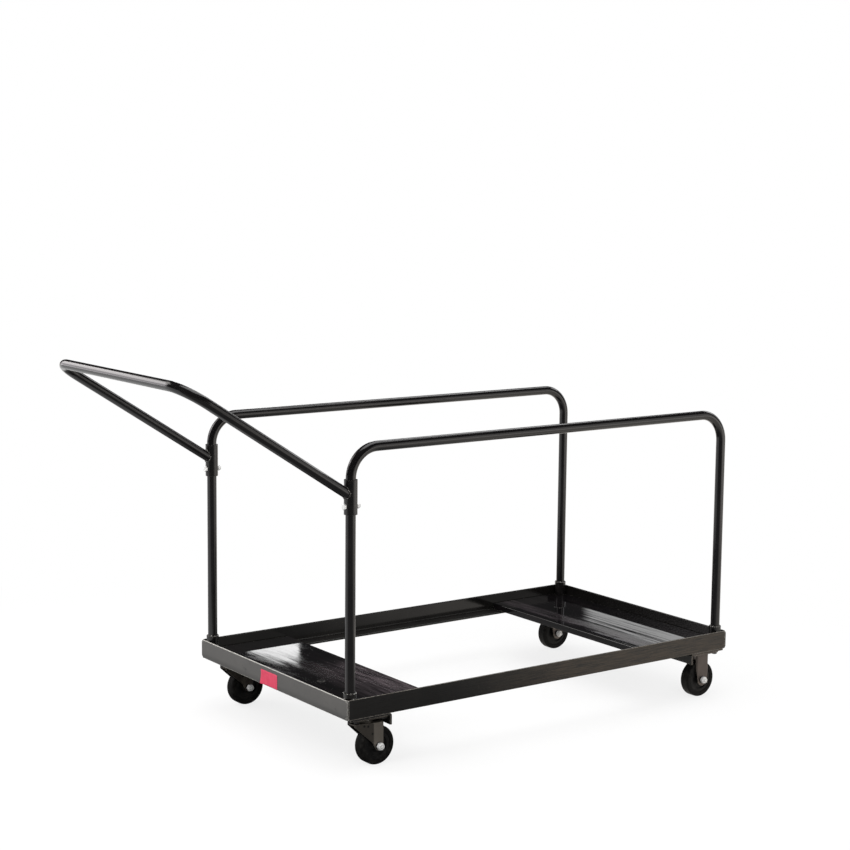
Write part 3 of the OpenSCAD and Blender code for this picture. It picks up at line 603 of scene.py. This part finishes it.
def make_tag(look):
    """A blank paper tag stuck on the handle end, wavy, with one corner lifting."""
    (y0, y1), (z0, z1) = TAG_Y, TAG_Z
    verts, faces = [], []
    for j in range(TAG_ROWS + 1):
        for i in range(TAG_COLUMNS + 1):
            u, v = i / TAG_COLUMNS, j / TAG_ROWS
            wave = 0.5 + 0.5 * noise.noise(Vector((u * 4.5, v * 2.5, 1.7)))
            lift = max(0, u - 0.72) * max(0, 0.5 - v)
            ragged = TAG_RAGGED * noise.noise(Vector((u * 9, v * 5, 8.3)))
            verts.append((END_X - TAG_OFF - TAG_WAVE * wave - TAG_LIFT * lift,
                          y0 + u * (y1 - y0) + ragged, z0 + v * (z1 - z0) + ragged))
    for j in range(TAG_ROWS):
        for i in range(TAG_COLUMNS):
            a = j * (TAG_COLUMNS + 1) + i
            faces.append((a, a + TAG_COLUMNS + 1, a + TAG_COLUMNS + 2, a + 1))
    tag = add_piece("tag", verts, faces, look["paper"], "base", None)
    thick = tag.modifiers.new("thickness", "SOLIDIFY")
    thick.thickness, thick.offset = TAG_T, -1


# Stage

def make_floor():
    """White to the eye with a faint shadow; in reflections pale beside and behind the part."""
    mesh = bpy.data.meshes.new("floor")
    corners = [(x * FLOOR_HALF, y * FLOOR_HALF, 0) for x, y in ((-1, -1), (1, -1), (1, 1), (-1, 1))]
    mesh.from_pydata(corners, [], [(0, 1, 2, 3)])
    floor = bpy.data.objects.new("floor", mesh)
    scene.collection.objects.link(floor)
    s = Shader("floor_white", Roughness=0.9, Specular_IOR_Level=0.0)
    path = s.node("ShaderNodeLightPath").outputs
    mirrored = s.calc("MAXIMUM", path["Is Glossy Ray"], path["Is Transmission Ray"])
    s.colour(s.mix(path["Is Camera Ray"], FLOOR_LIT, FLOOR_SEEN))
    reach = s.node("ShaderNodeVectorMath", {0: s.place}, operation="LENGTH").outputs["Value"]
    left = s.product(s.between(s.x, -0.40, -0.75), s.between(s.y, -0.6, -0.1))
    back = s.product(s.between(reach, 1.2, 2.5), s.between(s.y, 0.3, 1.0))
    pale = s.calc("MAXIMUM", s.between(s.x, 0.1, 0.9), s.calc("MAXIMUM", left, back))
    tint = s.mix(s.product(mirrored, s.between(s.x, 0.0, 0.8)), (1, 1, 1), FLOOR_TINT)
    glow = s.node("ShaderNodeEmission", {"Color": tint, "Strength": 1.0})
    white = s.calc("MAXIMUM", s.product(path["Is Camera Ray"], s.between(reach, 0.9, 2.0, 0.78, 1.0)),
                   s.product(mirrored, pale))
    blend = s.node("ShaderNodeMixShader", {0: white, 1: s.bsdf.outputs[0], 2: glow.outputs[0]})
    s.put(s.tree.nodes["Material Output"].inputs["Surface"], blend.outputs[0])
    mesh.materials.append(s.material)


def make_world():
    """White to the eye, dim as a light, and in reflections two pale screens low behind the part."""
    world = bpy.data.worlds.new("studio")
    scene.world = world
    world.use_nodes = True
    g = Graph(world.node_tree)
    g.tree.nodes.clear()
    way = g.node("ShaderNodeSeparateXYZ", {0: g.node("ShaderNodeTexCoord").outputs["Generated"]}).outputs
    turn = g.calc("MULTIPLY", g.calc("ARCTAN2", way[1], way[0]), math.degrees(1))
    rise = g.calc("MULTIPLY", g.calc("ARCSINE", way[2], 0.0), math.degrees(1))
    near_lean = g.calc("ADD", rise, g.product(turn, NEAR_LEAN))
    near_screen = g.product(g.near(turn, NEAR_TURN, NEAR_HALF, 0.1),
                            g.between(rise, NEAR_TOP + NEAR_SOFT, NEAR_TOP),
                            g.between(near_lean, NEAR_CUT + NEAR_SOFT, NEAR_CUT))
    far_lean = g.calc("ADD", rise, g.product(turn, FAR_LEAN))
    far_screen = g.product(g.near(turn, FAR_TURN, FAR_HALF, 0.4),
                           g.between(far_lean, FAR_CUT + FAR_SOFT, FAR_CUT))
    screens = g.calc("MAXIMUM", g.product(near_screen, NEAR_GLOW), far_screen)
    path = g.node("ShaderNodeLightPath").outputs
    mirrored = g.calc("MAXIMUM", path["Is Glossy Ray"], path["Is Transmission Ray"])
    strength = g.between(mirrored, 0, 1, WORLD_LIGHT, g.calc("MAXIMUM", screens, WORLD_MIRRORED))
    strength = g.between(path["Is Camera Ray"], 0, 1, strength, 1.0)
    light = g.node("ShaderNodeBackground", {"Color": (1, 1, 1, 1), "Strength": strength})
    g.node("ShaderNodeOutputWorld", {"Surface": light.outputs[0]})


def lamp(name, at, towards, width, height, radiance, colour=(1, 1, 1), mirrored=True):
    """A soft lamp of an even radiance, unseen by the camera; mirrored ones show in reflections."""
    data = bpy.data.lights.new(name, "AREA")
    data.shape = "RECTANGLE"
    data.size, data.size_y, data.energy = width, height, math.pi * width * height * radiance
    data.color = colour
    made = bpy.data.objects.new(name, data)
    scene.collection.objects.link(made)
    made.location = at
    made.rotation_euler = (Vector(towards) - Vector(at)).to_track_quat("-Z", "Y").to_euler()
    made.visible_camera = False
    made.visible_glossy = mirrored


# Making

scene.view_settings.view_transform = "Standard"
make_camera()
make_floor()
make_world()
lamp("left_back", (-1.9, 2.8, 2.6), (-0.5, 0, 0.6), 2.2, 2.2, 2.4, WARM)
lamp("handle_back", (-1.45, 1.45, 1.30), (-0.6, 0, 0.8), 1.1, 1.1, 2.4, MAUVE)
lamp("bar_light", (1.97, 1.24, 2.93), (0.2, 0, 0.85), 1.6, 1.2, 3.0)
lamp("arm_light", (3.29, 0.34, 2.33), (-0.62, 0, 0.83), 1.6, 0.8, 3.0)
lamp("right_front", (1.9, -2.25, 1.0), (-0.1, -0.3, 0.5), 2.2, 2.0, 1.0, WARM)
lamp("top", (0.3, -0.2, 3.4), (0.2, 0, 0), 2.6, 2.0, 2.7)
lamp("left_fill", (-3.4, -0.6, 1.6), (-0.3, 0, 0.4), 2.0, 2.0, 4.2, mirrored=False)
lamp("front_fill", (-1.2, -4.2, 2.2), (0.1, 0, 0.4), 2.2, 2.2, 5.0, mirrored=False)
look = {"rail": rail_paint(), "end_rail": end_rail_paint(), "tube": tube_paint(), "collar": collar_paint(),
        "weld": weld_paint(), "deck": deck_film(), "fork": fork_finish(), "zinc": zinc_plate(),
        "core": wheel_core_plastic(), "tyre": tyre_rubber(), "nylon": nylon(), "paper": pink_paper()}
dress_nodes(look)
make_frame_welds(look)
make_handle_welds(look)
make_caster_trim(look)
make_fork_dimples(look)
make_tag(look)
